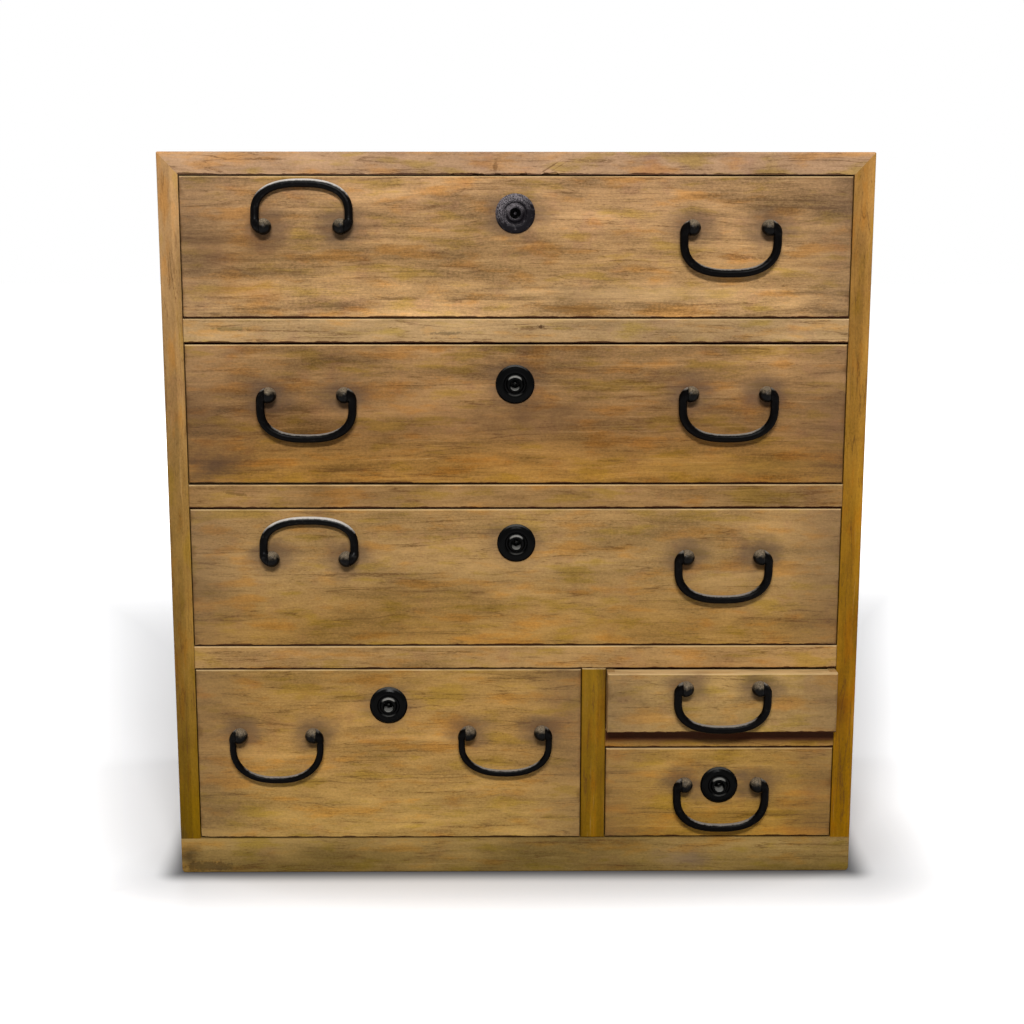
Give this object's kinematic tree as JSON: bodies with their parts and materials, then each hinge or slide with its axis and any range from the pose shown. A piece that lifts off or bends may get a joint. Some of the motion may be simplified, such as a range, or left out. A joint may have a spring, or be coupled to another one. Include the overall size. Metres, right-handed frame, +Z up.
{
  "type": "chest of drawers",
  "caption": "Low wooden tansu chest with sliding drawers, swinging iron bail handles and round keyhole plates with working lock bolts.",
  "frame": {"origin": "on the floor, at the middle of the case's footprint", "axes": "+Z up, +X to the right of someone who faces the drawers, drawers open towards -Y"},
  "size_m": [0.75, 0.4354, 0.795],
  "materials": {
    "old_wood": "worn satin",
    "worn_wood": "worn matte",
    "pale_wood": "unfinished",
    "black_iron": "black lacquer",
    "grey_iron": "worn, dull"
  },
  "bodies": {
    "case": {"top_board": "old_wood", "left_side": "old_wood", "right_side": "old_wood", "base_rail": "worn_wood", "bottom_board": "pale_wood", "bottom_bearer": "pale_wood", "back_boards": "pale_wood", "front_rails": "old_wood", "dust_boards": "pale_wood", "divider": "worn_wood"},
    "drawer_1": {"drawer_1_front": "old_wood", "drawer_1_sides": "pale_wood", "drawer_1_back": "pale_wood", "drawer_1_bottom": "pale_wood", "drawer_1_posts": "black_iron", "drawer_1_lock": "grey_iron"},
    "drawer_1_bolt": {"drawer_1_bolt": "grey_iron"},
    "drawer_1_left_bail": {"drawer_1_left_bail": "black_iron"},
    "drawer_1_right_bail": {"drawer_1_right_bail": "black_iron"},
    "drawer_2": {"drawer_2_front": "old_wood", "drawer_2_sides": "pale_wood", "drawer_2_back": "pale_wood", "drawer_2_bottom": "pale_wood", "drawer_2_posts": "black_iron", "drawer_2_lock": "black_iron"},
    "drawer_2_bolt": {"drawer_2_bolt": "grey_iron"},
    "drawer_2_left_bail": {"drawer_2_left_bail": "black_iron"},
    "drawer_2_right_bail": {"drawer_2_right_bail": "black_iron"},
    "drawer_3": {"drawer_3_front": "old_wood", "drawer_3_sides": "pale_wood", "drawer_3_back": "pale_wood", "drawer_3_bottom": "pale_wood", "drawer_3_posts": "black_iron", "drawer_3_lock": "black_iron"},
    "drawer_3_bolt": {"drawer_3_bolt": "grey_iron"},
    "drawer_3_left_bail": {"drawer_3_left_bail": "black_iron"},
    "drawer_3_right_bail": {"drawer_3_right_bail": "black_iron"},
    "drawer_4": {"drawer_4_front": "old_wood", "drawer_4_sides": "pale_wood", "drawer_4_back": "pale_wood", "drawer_4_bottom": "pale_wood", "drawer_4_posts": "black_iron", "drawer_4_lock": "black_iron"},
    "drawer_4_bolt": {"drawer_4_bolt": "grey_iron"},
    "drawer_4_left_bail": {"drawer_4_left_bail": "black_iron"},
    "drawer_4_right_bail": {"drawer_4_right_bail": "black_iron"},
    "drawer_5": {"drawer_5_front": "old_wood", "drawer_5_sides": "pale_wood", "drawer_5_back": "pale_wood", "drawer_5_bottom": "pale_wood", "drawer_5_posts": "black_iron"},
    "drawer_5_bail": {"drawer_5_bail": "black_iron"},
    "drawer_6": {"drawer_6_front": "old_wood", "drawer_6_sides": "pale_wood", "drawer_6_back": "pale_wood", "drawer_6_bottom": "pale_wood", "drawer_6_posts": "black_iron", "drawer_6_lock": "black_iron"},
    "drawer_6_bolt": {"drawer_6_bolt": "grey_iron"},
    "drawer_6_bail": {"drawer_6_bail": "black_iron"}
  },
  "joints": [
    {"name": "drawer_1_slide", "type": "slide", "parent": "case", "child": "drawer_1", "axis": [0, -1, 0], "range_m": [0, 0.27]},
    {"name": "drawer_1_bolt_slide", "type": "slide", "parent": "drawer_1", "child": "drawer_1_bolt", "axis": [0, 0, 1], "range_m": [0, 0.008]},
    {"name": "drawer_1_left_bail_hinge", "type": "hinge", "parent": "drawer_1", "child": "drawer_1_left_bail", "pos_m": [-0.224, -0.2096, 0.7183], "axis": [1, 0, 0], "range_deg": [0, 190]},
    {"name": "drawer_1_right_bail_hinge", "type": "hinge", "parent": "drawer_1", "child": "drawer_1_right_bail", "pos_m": [0.2239, -0.2096, 0.7174], "axis": [-1, 0, 0], "range_deg": [-5, 185]},
    {"name": "drawer_2_slide", "type": "slide", "parent": "case", "child": "drawer_2", "axis": [0, -1, 0], "range_m": [0, 0.27]},
    {"name": "drawer_2_bolt_slide", "type": "slide", "parent": "drawer_2", "child": "drawer_2_bolt", "axis": [0, 0, 1], "range_m": [0, 0.008]},
    {"name": "drawer_2_left_bail_hinge", "type": "hinge", "parent": "drawer_2", "child": "drawer_2_left_bail", "pos_m": [-0.2233, -0.2096, 0.5413], "axis": [-1, 0, 0], "range_deg": [-5, 185]},
    {"name": "drawer_2_right_bail_hinge", "type": "hinge", "parent": "drawer_2", "child": "drawer_2_right_bail", "pos_m": [0.2259, -0.2096, 0.5423], "axis": [-1, 0, 0], "range_deg": [-5, 185]},
    {"name": "drawer_3_slide", "type": "slide", "parent": "case", "child": "drawer_3", "axis": [0, -1, 0], "range_m": [0, 0.27]},
    {"name": "drawer_3_bolt_slide", "type": "slide", "parent": "drawer_3", "child": "drawer_3_bolt", "axis": [0, 0, 1], "range_m": [0, 0.008]},
    {"name": "drawer_3_left_bail_hinge", "type": "hinge", "parent": "drawer_3", "child": "drawer_3_left_bail", "pos_m": [-0.2238, -0.2096, 0.3632], "axis": [1, 0, 0], "range_deg": [0, 190]},
    {"name": "drawer_3_right_bail_hinge", "type": "hinge", "parent": "drawer_3", "child": "drawer_3_right_bail", "pos_m": [0.2246, -0.2096, 0.3647], "axis": [-1, 0, 0], "range_deg": [-5, 185]},
    {"name": "drawer_4_slide", "type": "slide", "parent": "case", "child": "drawer_4", "axis": [0, -1, 0], "range_m": [0, 0.27]},
    {"name": "drawer_4_bolt_slide", "type": "slide", "parent": "drawer_4", "child": "drawer_4_bolt", "axis": [0, 0, 1], "range_m": [0, 0.008]},
    {"name": "drawer_4_left_bail_hinge", "type": "hinge", "parent": "drawer_4", "child": "drawer_4_left_bail", "pos_m": [-0.264, -0.2096, 0.1637], "axis": [-1, 0, 0], "range_deg": [-5, 185]},
    {"name": "drawer_4_right_bail_hinge", "type": "hinge", "parent": "drawer_4", "child": "drawer_4_right_bail", "pos_m": [-0.012, -0.2096, 0.1662], "axis": [-1, 0, 0], "range_deg": [-5, 185]},
    {"name": "drawer_5_slide", "type": "slide", "parent": "case", "child": "drawer_5", "axis": [0, -1, 0], "range_m": [-0.017, 0.253]},
    {"name": "drawer_5_bail_hinge", "type": "hinge", "parent": "drawer_5", "child": "drawer_5_bail", "pos_m": [0.2251, -0.2266, 0.2216], "axis": [-1, 0, 0], "range_deg": [-5, 185]},
    {"name": "drawer_6_slide", "type": "slide", "parent": "case", "child": "drawer_6", "axis": [0, -1, 0], "range_m": [0, 0.27]},
    {"name": "drawer_6_bolt_slide", "type": "slide", "parent": "drawer_6", "child": "drawer_6_bolt", "axis": [0, 0, 1], "range_m": [0, 0.008]},
    {"name": "drawer_6_bail_hinge", "type": "hinge", "parent": "drawer_6", "child": "drawer_6_bail", "pos_m": [0.2277, -0.2096, 0.1055], "axis": [-1, 0, 0], "range_deg": [-5, 185]}
  ]
}
